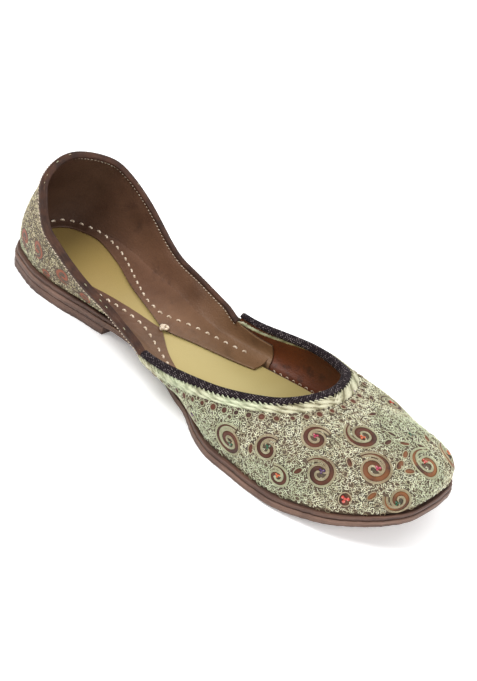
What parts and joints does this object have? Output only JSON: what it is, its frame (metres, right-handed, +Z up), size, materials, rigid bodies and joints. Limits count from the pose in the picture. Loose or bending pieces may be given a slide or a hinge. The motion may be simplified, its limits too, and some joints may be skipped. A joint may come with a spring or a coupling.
{
  "type": "mojari shoe",
  "caption": "Flat embroidered leather slip-on shoe with a deep rounded throat, a high heel quarter and a thin layered sole.",
  "frame": {"origin": "middle of the shoe's box, on the floor that it stands on", "axes": "+X from heel to toe, +Y to the medial side, +Z up"},
  "size_m": [0.2608, 0.0842, 0.0597],
  "materials": {
    "sole_leather": "stacked sole leather with a burnished, slightly ragged cut edge",
    "midsole_leather": "lighter reddish-brown layer edge with dark joint lines",
    "embroidered_upper": "dense couched metallic thread over reddish-brown leather, with scrolls and beads",
    "gold_thread": "satin-stitched pale gold metallic thread",
    "insole_sock": "smooth mustard sock leather, slightly creased",
    "lining_leather": "brown goatskin lining with a soft grain and light scuffs",
    "vamp_lining": "rust-tan lining leather with dark mottling",
    "woven_braid": "dark twill braid with pale specks",
    "edge_leather": "thin reddish-brown folded leather edge",
    "cotton_thread": "thick cream cotton lacing thread",
    "beads": "faceted coloured beads and sequins"
  },
  "bodies": {
    "root": {"outsole": "sole_leather", "midsole": "midsole_leather", "heel_lift": "sole_leather", "upper": "embroidered_upper", "insole": "insole_sock", "seat_flange": "lining_leather", "throat_binding": "woven_braid", "collar_binding": "edge_leather"}
  },
  "joints": []
}
